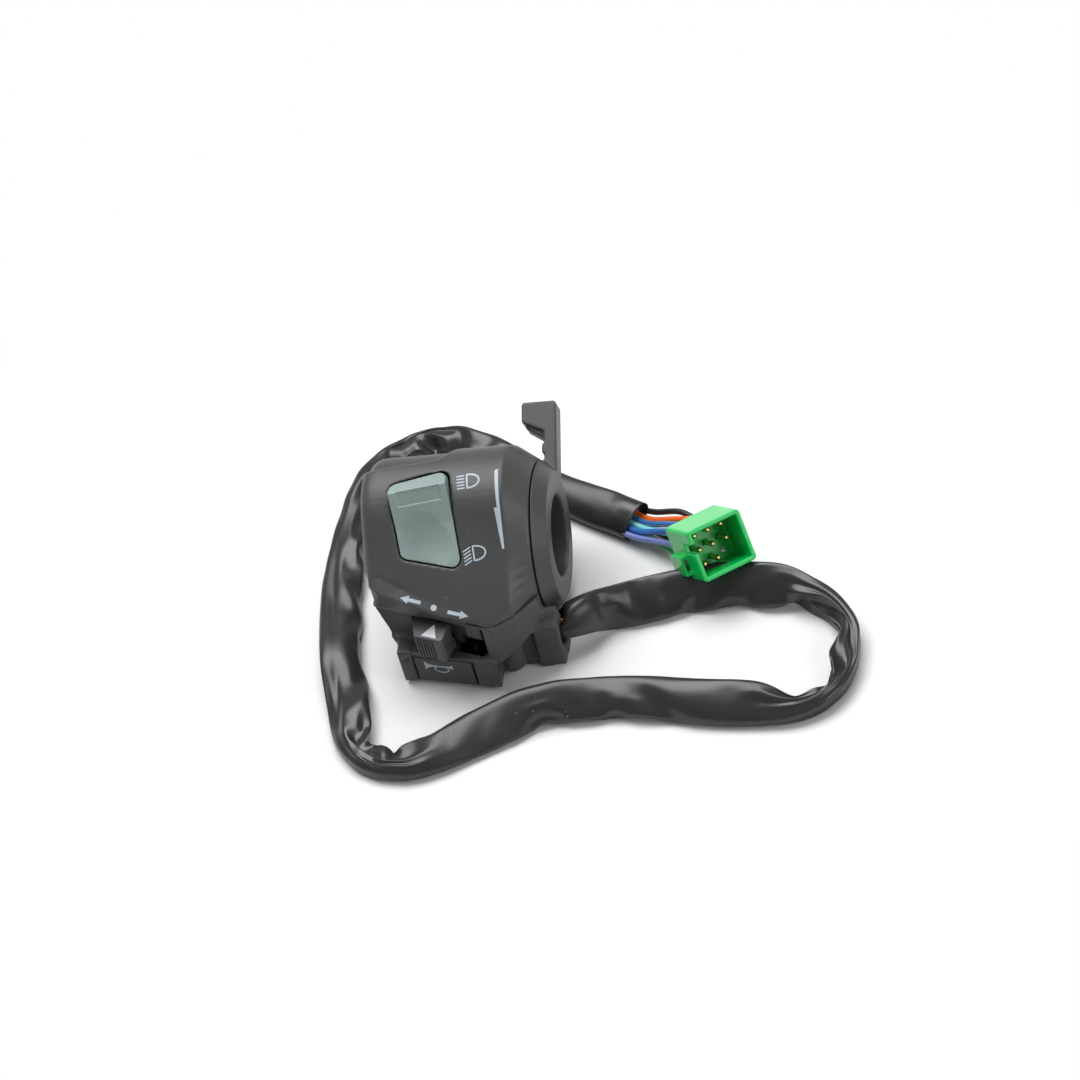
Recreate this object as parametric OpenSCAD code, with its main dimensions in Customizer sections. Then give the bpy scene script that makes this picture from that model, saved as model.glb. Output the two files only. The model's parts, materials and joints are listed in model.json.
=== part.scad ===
// Handlebar switch cluster for the left end of a motorbike bar.
// x runs along the bar towards its middle, -y towards the rider, z up; the origin is on the bar axis.

/* [Handlebar] */
// Diameter of the handlebar tube
bar_d = 22.2; // [22:0.1:22.4]
// Play between the saddle and the bar, on the radius
bar_play = 0.05; // [0.03:0.01:0.1]

/* [Housing] */
// Outer end of the housing along the bar
left_x = -20.5; // [-21:0.5:-20.5]
// Where the switch face ends and the flank begins
crease_x = 20.7; // [20.5:0.1:21]
// Inner end of the housing, next to the choke ring
right_x = 27.2; // [27:0.1:27.4]
// Distance of the switch face from the bar axis
face_n = 24.5; // [24.3:0.1:24.7]
// Distance of the top from the bar axis
top_r = 26.5; // [26.2:0.1:26.8]
// Radius from the switch face to the top
shoulder_r = 18; // [16:1:18]
// Depth of the lower half under the bar axis
depth = 25; // [25:0.1:25.4]
// Thickness of the housing walls
wall = 2.2; // [2:0.1:2.3]
// Wall of the saddle round the bar
saddle_wall = 1.8; // [1.6:0.1:1.9]
// Turn of the front wall towards the thumb, in plan
front_turn = 20; // [19:0.5:20.5]
// Turn of the horn plate towards the thumb, in plan
plate_turn = 12.7; // [12:0.1:13]

/* [Choke ring] */
// Radius of the ring where it meets the housing
ring_r = 22; // [21.6:0.1:22]
// Radius of the ring's outer face
ring_face_r = 18; // [17.5:0.1:18.5]
// Outer face of the ring along the bar
ring_x = 31.5; // [31:0.1:32]
// Reach of the lever from the bar axis
lever_r = 39.4; // [38:0.2:41]
// Angle of the lever at rest, up from straight ahead
lever_angle = 27; // [25:1:30]

/* [Switches] */
// Gap between the rocker and its opening
rocker_gap = 0.4; // [0.4:0.05:0.5]
// Rise of the rocker's raised half
rocker_rise = 12; // [11:0.5:12]
// Travel of the turn knob to either side
turn_travel = 5; // [4:0.5:5]
// Travel of the turn knob inwards, to cancel
cancel_travel = 0.9; // [0.6:0.1:0.9]
// Travel of the horn button
horn_travel = 2; // [1.5:0.1:2]

/* [Harness] */
// Half of the sleeve's width where it lies flat
sleeve_a = 6.6; // [6.4:0.1:7]
// Half of the sleeve's thickness where it lies flat
sleeve_b = 3.4; // [3:0.1:3.6]
// Radius of a wire
wire_r = 0.9; // [0.7:0.05:0.9]

/* [Hidden] */
$fn = 48;
far = 60;

// Housing
bore_r = bar_d / 2 + bar_play;
saddle_r = bore_r + saddle_wall;
saddle_x = 20.5;
end_round = 4.5;
seam_over = 0.5;
front_x = 14.7;
front_y0 = -29.4;
front_left = 22.4;
front_max = 34.4;
front_crease = 30.6;
belly_angle = 70.6;
turn_z = -6.2;
sill_z = turn_z - 5.8;
rim_depth = wall - sill_z;
belly_front = 24;
plate_x = [-14, 13.5];
plate_y0 = -32.2;
plate_back = -18;
plate_top = sill_z - 0.3;
plate_edge = 1.8;
sill_lip = 0.6;
step_drop = 1;
step_outline = [[left_x - 1, top_r - 5.2], [-15.7, top_r - 4.4], [0.4, top_r - 3], [1.8, top_r - 2.6],
    [2.8, top_r - 1.9], [3.8, top_r - 1], [5.2, top_r - 0.2], [5.6, far], [left_x - 1, far]];

// Choke ring
ring_gap = 0.3;
neck_r = 14.68;
neck_play = 0.07;
flange_r = 16.5;
flange_t = 2.1;
ring_bore_r = bar_d / 2 + 0.4;
flange_x = right_x - wall - ring_gap;

// Screws that close the housing, as [x, y, bottom of the boss, top of the thread]
boss_r = 4.3;
boss_gap = 0.3;
clamp_at = [[16, -26, -depth, 5], [0, top_r - wall - boss_r - boss_gap, 6 - depth, 12]];
screw_r = 2;
screw_head_r = 3.1;
screw_play = 0.1;
head_t = 2.4;
head_recess = 4;

// Rocker: its frame lies on the switch face, turned a little
rock_at = [-1.8, 6.8];
rock_turn = 6.4;
rock_outline = [[-8.3, -9], [8.1, -15], [8.4, 12.6], [-8.3, 11.5]];
rock_round = 2.3;
rock_pivot = [-1, face_n - 4];
rock_flat_n = face_n - 0.3;
rock_thick = 3.4;
rock_under_n = rock_flat_n - rock_thick;
hub_n = face_n - 6.2;
scoop_r = 24;
scoop_deep = 1.3;
rock_sink = 0.35;
scoop_at = [-0.8, -7];
hub_q = [-4.2, 2.2];
pin_r = 1;
pin_play = 0.05;
pin_p = [5.2, 11];
ear_p = [9.1, 11.3];
plunger_r = 1.2;
base_gap = 0.35;
base_t = 1.6;
base_n = [saddle_r + base_gap, saddle_r + base_gap + base_t];
bridge_n = base_n[1] + 1.25;
plunger_tip_n = bridge_n + 0.95;
plunger_seat_n = plunger_tip_n + 2.3;
plunger_top_n = face_n - 1.9;
bridge_tilt = rocker_rise / 2;
base_p = 13.2;
dimmer_post = [11.3, top_r - shoulder_r - 0.5];
base_q = [-11, dimmer_post[1] + 2.5];

// Turn switch: its frame stands on the front wall, with depth measured inwards
slot_s = 12.4;
track_d = 1.5;
pocket_s = 1.6;
pocket_lip = 0.2;
turn_s = -2.6;
pocket_z = turn_z - 1.4;
knob_back_s = [-6.1, 4.8];
knob_front_s = [-3.8, 5];
knob_round = 1;
knob_z = [turn_z - 4.6, turn_z + 4.8];
knob_out = 5.6;
knob_back = track_d - cancel_travel - 0.3;
stem_half = 2.8;
stem_z = [turn_z - 2.2, turn_z + 2.6];
stem_in = 1.4;
stem_reach = turn_travel + stem_half + 0.4;
carriage_half = 6;
wing_s = [-7, 11];
carriage_gap = 1;
carriage_t = 4.2;
carriage_d = [wall + carriage_gap, wall + carriage_gap + carriage_t];
carriage_z = [turn_z - 5.3, turn_z + 4.2];
stem_end = carriage_d[0] + stem_in;
pocket_d = carriage_d[1] - 0.6;
wiper_t = 0.4;
pad_gap = 0.3;
pad_t = 1.2;
turn_base_t = 1.6;
pad_front_d = carriage_d[1] + wiper_t + pad_gap;
turn_base_d = [pad_front_d + pad_t, pad_front_d + pad_t + turn_base_t];
turn_base_s = [-17.4, 7.6];
turn_base_z = [turn_z - 5.4, turn_z + 5.6];
turn_pads = [-10, -4.6, 0.8];
turn_post_s = [-15.4, 5.6];
turn_screw_z = turn_z + 2.2;
ball_r = 1.2;
ball_at = [4.4, carriage_d[1] + 0.9, turn_z - 3.4];
small_screw_r = 1;
small_head_r = 1.8;

// Horn: its frame stands on the plate, with depth measured inwards
horn_s = -2.5;
horn_mid = (plate_top - depth) / 2;
horn_half = 8.8;
horn_z = [plate_edge - depth, plate_top - 1.6];
horn_flange_z = [horn_z[0] + 2.4, horn_z[1] - 1];
horn_gap = 0.4;
panel_t = 2;
horn_flange = 0.9;
horn_stem_r = 2.2;
horn_stem_end = 7.2;
horn_disc_t = 0.8;
horn_base_t = 1.6;
horn_contact_d = horn_stem_end + horn_disc_t + horn_travel + 0.2;
horn_base_d = [horn_contact_d - horn_base_t, horn_contact_d];
horn_base_half = 8.4;
horn_base_play = 0.25;
horn_base_h = (depth + plate_top) / 2 - wall - horn_base_play;
horn_base_z = [horn_mid - horn_base_h, horn_mid + horn_base_h];
horn_post = 6.4;

// Harness: route of the sleeve, from the housing round to its open end
exit_yz = [-19.5, 8.5 - depth];
exit_r = 5.2;
exit_block_x = [23.5, 31];
sleeve_start_r = 4.6;
sleeve_wall = 0.7;
lead_r = 0.75;
flat_z = -depth + sleeve_b + 0.2;
route = [[32, exit_yz[0], exit_yz[1] + 0.2], [34, -18.6, exit_yz[1] + 0.1],
    [37.5, -16.2, exit_yz[1] - 0.6], [42, -12.6, -19], [54, -9, flat_z],
    [68, -6, flat_z], [85, -6, flat_z], [98, -9, flat_z], [107, -20, flat_z], [111, -33, flat_z],
    [107, -46, flat_z], [98, -51, flat_z], [84, -50, flat_z], [70, -48, flat_z], [56, -45, flat_z],
    [42, -44, flat_z], [26, -47, flat_z], [9, -53, flat_z], [-4, -60, flat_z], [-15, -64, flat_z],
    [-26, -57, flat_z], [-31, -38, flat_z], [-36, -14, flat_z], [-39, 10, flat_z], [-39, 30, flat_z],
    [-36, 49, flat_z], [-30, 61, flat_z], [-20, 67, flat_z], [-9, 66, flat_z], [4, 59, flat_z],
    [16, 49, flat_z], [27, 39, flat_z], [37, 32, flat_z], [48, 24, flat_z]];

// Connector: mouth centre and attitude
plug_at = [77, -3.5, -5.4];
plug_turn = [58, 4, 34];
plug_w = 17;
plug_h = 15.5;
plug_l = 16.6;
plug_wall = 1.3;
plug_floor = 4.5;
pin_pitch = 4.3;
pin_hole_r = 0.85;
plug_pin_r = 0.8;
empty_way = [1, -1];

// Basic drawing helpers
function yz(n, u) = [u * cos(face_tilt) - n * sin(face_tilt), u * sin(face_tilt) + n * cos(face_tilt)];
function face_z(y, n) = (n + y * sin(face_tilt)) / cos(face_tilt);
function arc(centre, r, a0, a1, steps) =
    [for (i = [0:steps]) let (a = a0 + (a1 - a0) * i / steps) centre + r * [cos(a), sin(a)]];
function span(a, b, steps) = [for (i = [0:steps - 1]) a + (b - a) * i / steps];
function front_y(x) = front_y0 - x * tan(front_turn);
function plate_y(x) = plate_y0 - x * tan(plate_turn);
face_tilt = 45;

// Outline of the upper half across the bar, inset by t, down to z0
function upper_outline(front, t, z0) = concat(
    [[t - front, z0]],
    span([t - front, face_z(t - front, face_n - t)], yz(face_n - t, top_r - shoulder_r), 8),
    arc(yz(face_n - shoulder_r, top_r - shoulder_r), shoulder_r - t, face_tilt + 90, face_tilt, 14),
    arc([0, 0], top_r - t, face_tilt, 0, 9),
    [[top_r - t, z0]]);

// Outline of the belly of the lower half, inset by t, up to z0
function belly_outline(deep, t, z0) = concat(
    [[t - belly_front, z0], [t - belly_front, t - deep]],
    [for (i = [0:12]) let (a = belly_angle * (i / 12 - 1))
        [(top_r - t) * cos(a), (deep - t) / sin(belly_angle) * sin(a)]],
    [[top_r - t, z0]]);

// A section of a body across the bar
function at_x(x, outline) = [for (q = outline) [x, q[0], q[1]]];

module along_x(x0, x1) {
    translate([x0, 0, 0]) rotate([90, 0, 90]) linear_extrude(x1 - x0) children();
}

module bar_rod(r, x0, x1) {
    translate([x0, 0, 0]) rotate([0, 90, 0]) cylinder(h = x1 - x0, r = r, $fn = 96);
}

module box(x, y, z) {
    translate([x[0], y[0], z[0]]) cube([x[1] - x[0], y[1] - y[0], z[1] - z[0]]);
}

// Frames of the three switches
module on_face() {
    rotate([face_tilt, 0, 0]) children();
}

module on_rocker() {
    on_face() translate([rock_at[0], rock_at[1], 0]) rotate([0, 0, rock_turn]) children();
}

module on_front() {
    translate([0, front_y0, 0]) rotate([0, 0, -front_turn]) children();
}

module on_plate() {
    translate([0, plate_y0, 0]) rotate([0, 0, -plate_turn]) children();
}

// A rod along the depth of a frame
module inward(s, z, r, d0, d1) {
    translate([s, d0, z]) rotate([-90, 0, 0]) cylinder(h = d1 - d0, r = r);
}

// Spline through a route, and a tube of oval section swept along it
function unit(v) = v / norm(v);
function blend(a, b, c, d, t) = 0.5 * (2 * b + t * (c - a) + t * t * (2 * a - 5 * b + 4 * c - d)
    + t * t * t * (3 * b - a - 3 * c + d));
function smooth(p, per) = concat(
    [for (i = [0:len(p) - 2]) for (j = [0:per - 1])
        blend(p[max(i - 1, 0)], p[i], p[i + 1], p[min(i + 2, len(p) - 1)], j / per)],
    [p[len(p) - 1]]);
function way(p, i) = unit(p[min(i + 1, len(p) - 1)] - p[max(i - 1, 0)]);
function ring(p, i, size, sides) = let (t = way(p, i), s = unit(cross(t, [0, 0, 1])), w = cross(s, t))
    [for (k = [0:sides - 1]) p[i] + size[0] * cos(360 * k / sides) * s + size[1] * sin(360 * k / sides) * w];

// A solid through sections of equal point count, each clockwise as seen from the end
module loft(sections) {
    n = len(sections[0]);
    last = len(sections) - 1;
    walls = [for (i = [0:last - 1]) for (k = [0:n - 1]) let (a = i * n + k, b = i * n + (k + 1) % n)
        each [[a, b, b + n], [a, b + n, a + n]]];
    start = [for (k = [n - 1:-1:0]) k];
    end = [for (k = [0:n - 1]) last * n + k];
    polyhedron([for (r = sections) each r], concat(walls, [start, end]), convexity = 10);
}

module tube(p, sizes, sides) {
    loft([for (i = [0:len(p) - 1]) ring(p, i, sizes[min(i, len(sizes) - 1)], sides)]);
}

// Coil spring along z from the origin
module coil(r, wire, turns, length) {
    steps = 12;
    sides = 6;
    last = round(turns * steps);
    loft([for (i = [0:last]) let (a = 360 * i / steps, z = wire / 2 + (length - wire) * i / last)
        [for (k = [0:sides - 1]) let (b = -360 * k / sides, q = r + wire / 2 * cos(b))
            [q * cos(a), q * sin(a), z + wire / 2 * sin(b)]]]);
}

// Housing shells
module upper_body(t, z0) {
    loft(concat(
        [for (a = [0, 18, 36, 54, 72, 90]) at_x(left_x + t + end_round * (1 - cos(a)),
            upper_outline(front_left, t + end_round * (1 - sin(a)), z0))],
        [at_x(front_x - t / 2, upper_outline(front_max, t, z0)),
        at_x(crease_x - t / 2, upper_outline(front_crease, t, z0)),
        at_x(right_x - t, [for (q = upper_outline(front_crease, t, z0)) (ring_r - t) * unit(q)])]));
}

// Lip over the turn slot, as [x, place of its crease on the switch face, width, rise above the face]
lip_t = 1.4;
lip_at = [[-19.3, -6.4, 4.2, -1], [-16.5, -8, 4.7, 0.7], [-10, -11.7, 4, 1], [-4.5, -13.8, 4.1, 0.8],
    [1, -16.1, 4, 0.4], [6.5, -18.7, 3, 0], [front_x - 1.4, -22, 1.4, 0]];

module brow() {
    loft([for (q = lip_at) let (y = front_y(q[0])) at_x(q[0], [[y - 0.3, -seam_over],
        yz(face_n + q[3] - lip_t, q[1] - q[2] + 0.3), yz(face_n + q[3], q[1] - q[2]),
        yz(face_n - 0.1 + min(q[3], 0), q[1]), yz(face_n - 4, q[1]), [y + 4, -seam_over]])]);
}

module rocker_outline(grow) {
    offset(r = rock_round + grow, $fn = 32) offset(delta = -rock_round) polygon(rock_outline);
}

module upper_housing() {
    color("#26272a") difference() {
        union() {
            difference() {
                union() {
                    upper_body(0, -seam_over);
                    brow();
                }
                upper_body(wall, -2 * seam_over);
            }
            bar_rod(saddle_r, left_x, saddle_x);
            difference() {
                for (c = clamp_at) {
                    translate([c[0], c[1], 0]) cylinder(h = c[3] + 3, r = boss_r - 0.3);
                }
                on_face() translate([-far, -far, face_n - 0.8]) cube(2 * far);
            }
            on_rocker() for (side = [-1, 1]) {
                translate([side * (ear_p[0] + ear_p[1]) / 2, rock_pivot[0], (hub_n + face_n - 1) / 2])
                    cube([ear_p[1] - ear_p[0], 6, face_n - 1 - hub_n], center = true);
                translate([side * dimmer_post[0], dimmer_post[1], base_n[1]])
                    cylinder(h = 6.2, r = small_head_r + 0.4);
            }
        }
        translate([-far, -far, -2 * far]) cube(2 * far);
        bar_rod(bore_r, -far, far);
        bar_rod(neck_r + neck_play, right_x - wall - 1, far);
        bar_rod(flange_r + 1, saddle_x, right_x - wall);
        difference() {
            on_face() translate([0, 0, -8]) linear_extrude(far) polygon(step_outline);
            upper_body(step_drop, -1);
        }
        on_rocker() translate([0, 0, hub_n - 2.5]) linear_extrude(far) rocker_outline(rocker_gap);
        on_rocker() for (side = [-1, 1]) {
            translate([side > 0 ? ear_p[0] - 1 : -ear_p[1] - 1, rock_pivot[0], rock_pivot[1]])
                rotate([0, 90, 0]) cylinder(h = ear_p[1] - ear_p[0] + 2, r = pin_r + pin_play);
            translate([side * dimmer_post[0], dimmer_post[1], base_n[1] - 1]) cylinder(h = 5, r = small_screw_r);
        }
        for (c = clamp_at) {
            translate([c[0], c[1], -1]) cylinder(h = c[3] + 1, r = screw_r);
        }
    }
}

// Lower shell: rim under the seam, belly round the bar, horn plate and harness block
function rim_outline(front, deep, t, z0) =
    [[t - front, t - deep], [t - front, z0], [0, z0], [0, t - deep]];

module rim(t, z0) {
    loft([at_x(left_x + t + 0.4, rim_outline(front_left - 1, 3.5 + t, t, z0)),
        at_x(-17 + t, rim_outline(-front_y(-17), rim_depth, t, z0)),
        at_x(front_x - t / 2, rim_outline(-front_y(front_x), rim_depth, t, z0)),
        at_x(crease_x - t / 2, rim_outline(front_crease + 0.2, rim_depth - 2.4, t, z0)),
        at_x(right_x - t, rim_outline(ring_r + 2.6, 8.3, t, z0))]);
}

module belly(t, z0) {
    loft([at_x(right_x - t, concat([[-ring_r + t, z0]], arc([0, 0], ring_r - t, -180, 0, 13),
            [[ring_r - t, z0]])),
        at_x(crease_x + 1 - t / 2, belly_outline(depth, t, z0)),
        at_x(-14 + t, belly_outline(depth, t, z0)),
        at_x(left_x + t, belly_outline(5 + t, t + end_round / 2, z0))]);
}

function plate_plan(t, z) = let (a = plate_x[0] + t, b = plate_x[1] - t)
    [[a, plate_back, z], [a, plate_y(a) + t, z], [b, plate_y(b) + t, z], [b, plate_back, z]];

module plate_body(t) {
    loft([plate_plan(t, plate_top - t), plate_plan(t, t + plate_edge - depth),
        plate_plan(t + plate_edge, t - depth)]);
}

// Block that the harness leaves through, under the choke ring
module exit_block() {
    x = exit_block_x;
    side_y = front_y(front_x) + (x[1] - front_x) * (front_max - ring_r - 2.6) / (right_x - front_x);
    translate([0, 0, -depth]) linear_extrude(depth - 9.4)
        polygon([[x[0], -27], [x[1], -26.2], [x[1], -8], [x[0], -8]]);
    box([x[0] - 5, x[0] + 1], [-belly_front - 1.6, wall - belly_front], [-depth, -9.4]);
    translate([0, 0, -depth]) linear_extrude(depth - 5)
        polygon([[right_x - 5, -ring_r - 2.6], [right_x, -ring_r - 2.6], [x[1] + 0.4, side_y],
            [x[1] + 0.4, -8], [right_x - 5, -8]]);
}

module lower_housing() {
    color("#232427") difference() {
        union() {
            difference() {
                union() {
                    rim(0, seam_over);
                    belly(0, seam_over);
                    plate_body(0);
                    exit_block();
                    on_plate() box([plate_x[0] + 2, plate_x[1]], [-sill_lip, 1], [plate_top - 0.9, plate_top]);
                    box([plate_x[0] - 1.4, plate_x[0] + 2.6], [plate_y(plate_x[0]) - 0.6, -belly_front],
                        [-depth + 1, sill_z + 3.4]);
                }
                rim(wall, 2 * seam_over);
                belly(wall, 2 * seam_over);
                plate_body(wall);
            }
            bar_rod(saddle_r, left_x, saddle_x);
            for (c = clamp_at) {
                translate([c[0], c[1], c[2] + boss_r]) cylinder(h = -c[2] - boss_r, r = boss_r);
                translate([c[0], c[1], c[2] + boss_r]) sphere(r = boss_r);
            }
            on_front() for (s = turn_post_s) {
                box([s - 2.4, s + 2.4], [turn_base_d[1], turn_base_d[1] + 2.4], [1 - depth, turn_screw_z + 2.4]);
            }
            on_plate() for (side = [-1, 1]) {
                box([horn_s + side * horn_post - 2, horn_s + side * horn_post + 2],
                    [horn_base_d[1], horn_base_d[1] + 2.4], [1 - depth, horn_base_z[1] - 0.4]);
            }
        }
        translate([-far, -far, 0]) cube(2 * far);
        bar_rod(bore_r, -far, far);
        bar_rod(neck_r + neck_play, right_x - wall - 1, far);
        bar_rod(flange_r + 1, saddle_x, right_x - wall);
        bar_rod(ring_r + 0.7, right_x, far);
        translate([exit_block_x[0] + 1, exit_yz[0], exit_yz[1]]) rotate([0, 90, 0]) cylinder(h = far, r = exit_r);
        translate([saddle_x - 1, exit_yz[0], exit_yz[1]]) rotate([0, 90, 0]) cylinder(h = 6, r = exit_r - 2);
        on_front() {
            box([-far, slot_s], [-8, track_d], [sill_z, -0.9]);
            box([turn_s - stem_reach, turn_s + stem_reach], [-8, wall + 1.5], [stem_z[0] - 0.4, stem_z[1] + 0.4]);
            box([pocket_s, slot_s - 0.6], [-8, carriage_d[1]], [sill_z - 0.01, pocket_z]);
            box([pocket_s, slot_s - 1.4], [pocket_lip, carriage_d[1]], [plate_top - wall - 0.4, pocket_z]);
        }
        on_plate() box([horn_s - horn_half - horn_gap, horn_s + horn_half + horn_gap],
            [-3, panel_t + horn_travel + 0.6], [horn_z[0] - horn_gap, horn_z[1] + horn_gap]);
        translate([plate_x[0] + 1, plate_y(plate_x[0]) - 1, -15]) rotate([-90, 0, 0]) cylinder(h = 1, r = 1.1);
        for (c = clamp_at) {
            translate([c[0], c[1], c[2] - 1]) cylinder(h = far, r = screw_r + screw_play);
            translate([c[0], c[1], c[2] - 1]) cylinder(h = head_recess + 1, r = screw_head_r + screw_play);
        }
        on_front() for (s = turn_post_s) {
            inward(s, turn_screw_z, small_screw_r, turn_base_d[1] - 1, turn_base_d[1] + 1.9);
        }
        on_plate() for (side = [-1, 1]) {
            inward(horn_s + side * horn_post, horn_mid, small_screw_r,
                horn_base_d[1] - 1, horn_base_d[1] + 1.9);
        }
    }
}

module clamp_screws() {
    color("#8d8f92") for (c = clamp_at) {
        seat = c[2] + head_recess;
        translate([c[0], c[1], 0]) difference() {
            union() {
                translate([0, 0, seat]) cylinder(h = c[3] - 0.5 - seat, r = screw_r - 0.02);
                translate([0, 0, seat - head_t]) cylinder(h = head_t, r = screw_head_r);
            }
            for (a = [0, 90]) {
                translate([0, 0, seat - head_t]) rotate([0, 0, a]) cube([4, 0.9, 2.4], center = true);
            }
        }
    }
}

module choke_lever() {
    x0 = right_x + ring_gap;
    arm_x = x0 + 0.4;
    tab_x = crease_x + 0.7;
    color("#2a2b2e") difference() {
        union() {
            translate([x0, 0, 0]) rotate([0, 90, 0])
                cylinder(h = ring_x - x0, r1 = ring_r, r2 = ring_face_r, $fn = 96);
            bar_rod(neck_r, flange_x - 0.5, x0 + 0.5);
            bar_rod(flange_r, flange_x - flange_t, flange_x);
            rotate([lever_angle, 0, 0]) translate([0, 0, -3.5]) linear_extrude(7) {
                offset(r = 0.9, $fn = 24) offset(delta = -0.9)
                    polygon([[arm_x, 13], [ring_x, 13], [ring_x, lever_r],
                        [tab_x, lever_r], [tab_x, lever_r - 6], [arm_x, lever_r - 9]]);
                translate([arm_x - 0.7, ring_r + 2]) square([1.2, 2.6]);
            }
            rotate([lever_angle, 0, 0]) translate([0, 0, -2.6]) linear_extrude(5.2)
                polygon([[arm_x + 1, lever_r - 12], [arm_x + 1, lever_r - 5], [tab_x + 1.2, lever_r - 5],
                    [tab_x + 1.2, lever_r - 7.6], [arm_x, lever_r - 11]]);
        }
        bar_rod(ring_bore_r, 0, far);
    }
}

// Lights rocker
module rocker_profile() {
    rise = tan(rocker_rise);
    ridge_q = 9.2;
    polygon([[-17, rock_flat_n], [rock_pivot[0], rock_flat_n],
        [ridge_q, rock_flat_n + (ridge_q - rock_pivot[0]) * rise], [13, rock_flat_n - 2.3],
        [13, rock_under_n + 0.4], [hub_q[1], rock_under_n], [hub_q[1], hub_n],
        [hub_q[0], hub_n], [hub_q[0], rock_under_n], [-17, rock_under_n]]);
}

module dimmer_rocker() {
    color("#8ea7a1") on_rocker() difference() {
        intersection() {
            rotate([90, 0, 90]) translate([0, 0, -10]) linear_extrude(20) rocker_profile();
            translate([0, 0, hub_n - 1]) linear_extrude(20) rocker_outline(0);
        }
        translate([0, rock_pivot[0], 0]) {
            translate([0, 0, hub_n - 1]) cylinder(h = plunger_top_n - hub_n + 1, r = plunger_r + 0.1);
            translate([-20, 0, rock_pivot[1]]) rotate([0, 90, 0]) cylinder(h = 20 - pin_p[0], r = pin_r);
            translate([pin_p[0], 0, rock_pivot[1]]) rotate([0, 90, 0]) cylinder(h = 20, r = pin_r);
        }
        translate([scoop_at[0], scoop_at[1], rock_flat_n + scoop_r - scoop_deep]) sphere(r = scoop_r, $fn = 96);
        translate([0, 0, rock_flat_n]) rotate([rocker_rise, 0, 0])
            translate([-6, 5.2, -rock_pivot[0] * sin(rocker_rise) - rock_sink]) cube([12.4, 4.2, 4]);
    }
}

module dimmer_pivot_pins() {
    color("#b9bcbf") on_rocker() for (side = [-1, 1]) {
        translate([side > 0 ? pin_p[0] : -pin_p[1], rock_pivot[0], rock_pivot[1]])
            rotate([0, 90, 0]) cylinder(h = pin_p[1] - pin_p[0], r = pin_r);
    }
}

module dimmer_plunger() {
    color("#d8d6cc") on_rocker() translate([0, rock_pivot[0], 0]) {
        translate([0, 0, plunger_tip_n + 0.9]) cylinder(h = plunger_seat_n - plunger_tip_n - 0.9, r = plunger_r);
        translate([0, 0, plunger_tip_n + 0.9]) sphere(r = 0.9, $fn = 32);
    }
}

module dimmer_spring() {
    color("#a9adb0") on_rocker() translate([0, rock_pivot[0], plunger_seat_n])
        coil(0.85, 0.3, 3.5, plunger_top_n - plunger_seat_n);
}

module dimmer_bridge() {
    color("#c89b52") on_rocker() translate([0, rock_pivot[0], bridge_n]) rotate([-bridge_tilt, 0, 0])
        translate([0, 0, 0.3]) cube([4, 11, 0.6], center = true);
}

module dimmer_contacts() {
    color("#c9a04f") on_rocker() for (q = [-4.6, 0, 4.6]) {
        translate([0, rock_pivot[0] + q, 0]) {
            box([-base_p - 2, 1.8], [-1.1, 1.1], [base_n[1], base_n[1] + 0.4]);
            if (q == 0) translate([-1.8, 0, base_n[1] + 0.61]) rotate([0, 90, 0]) cylinder(h = 3.6, r = 0.6);
        }
    }
}

module dimmer_base() {
    color("#2f2420") on_rocker() difference() {
        box([-base_p, base_p], base_q, base_n);
        for (side = [-1, 1]) {
            translate([side * dimmer_post[0], dimmer_post[1], 0]) cylinder(h = 30, r = small_screw_r + 0.1);
        }
    }
}

module dimmer_screws() {
    color("#9a9da0") on_rocker() for (side = [-1, 1]) {
        translate([side * dimmer_post[0], dimmer_post[1], 0]) {
            translate([0, 0, base_n[0] - 1.2]) cylinder(h = 1.2, r = small_head_r);
            translate([0, 0, base_n[0]]) cylinder(h = 5, r = small_screw_r - 0.02);
        }
    }
}

// Turn switch
module turn_knob() {
    color("#2e2f33") on_front() translate([turn_s, 0, 0]) {
        difference() {
            hull() {
                box(knob_back_s, [-1.2, knob_back], [knob_z[0] + 0.6, knob_z[1]]);
                box([knob_front_s[0], 0], [-knob_out, 0], [knob_z[0], knob_z[1] - 1.2]);
                translate([knob_front_s[1] - knob_round, knob_round - knob_out, knob_z[0]])
                    cylinder(h = knob_z[1] - 1.2 - knob_z[0], r = knob_round, $fn = 24);
            }
            for (i = [0:5]) {
                translate([knob_front_s[0] + 0.6 + i * 0.95, -knob_out - 1, knob_z[0] - 1])
                    cube([0.45, 1.5, knob_z[1] - knob_z[0] - 0.7]);
            }
        }
        box([-stem_half, stem_half], [0, stem_end], stem_z);
    }
}

module turn_return_spring() {
    color("#a9adb0") on_front() translate([turn_s, stem_end, (stem_z[0] + stem_z[1]) / 2]) rotate([-90, 0, 0])
        coil(1.4, 0.3, 1.75, pocket_d - stem_end);
}

module turn_carriage() {
    color("#38393d") on_front() translate([turn_s, 0, 0]) difference() {
        union() {
            box([-carriage_half, carriage_half], carriage_d, carriage_z);
            box(wing_s, [carriage_d[0], carriage_d[0] + 1], [turn_z - 2, carriage_z[1]]);
        }
        box([-stem_half - 0.15, stem_half + 0.15], [0, pocket_d], [stem_z[0] - 0.15, stem_z[1] + 0.15]);
        inward(ball_at[0], ball_at[2], ball_r + 0.1, carriage_d[0] + 1, 12);
    }
}

module turn_wiper() {
    color("#c9a04f") on_front() translate([turn_s, 0, 0])
        box([-5.4, 1.6], [carriage_d[1], carriage_d[1] + wiper_t], [turn_z - 1.2, turn_z + 2]);
}

module turn_detent_ball() {
    color("#c4c7ca") on_front() translate([turn_s + ball_at[0], ball_at[1], ball_at[2]]) sphere(r = ball_r);
}

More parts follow.
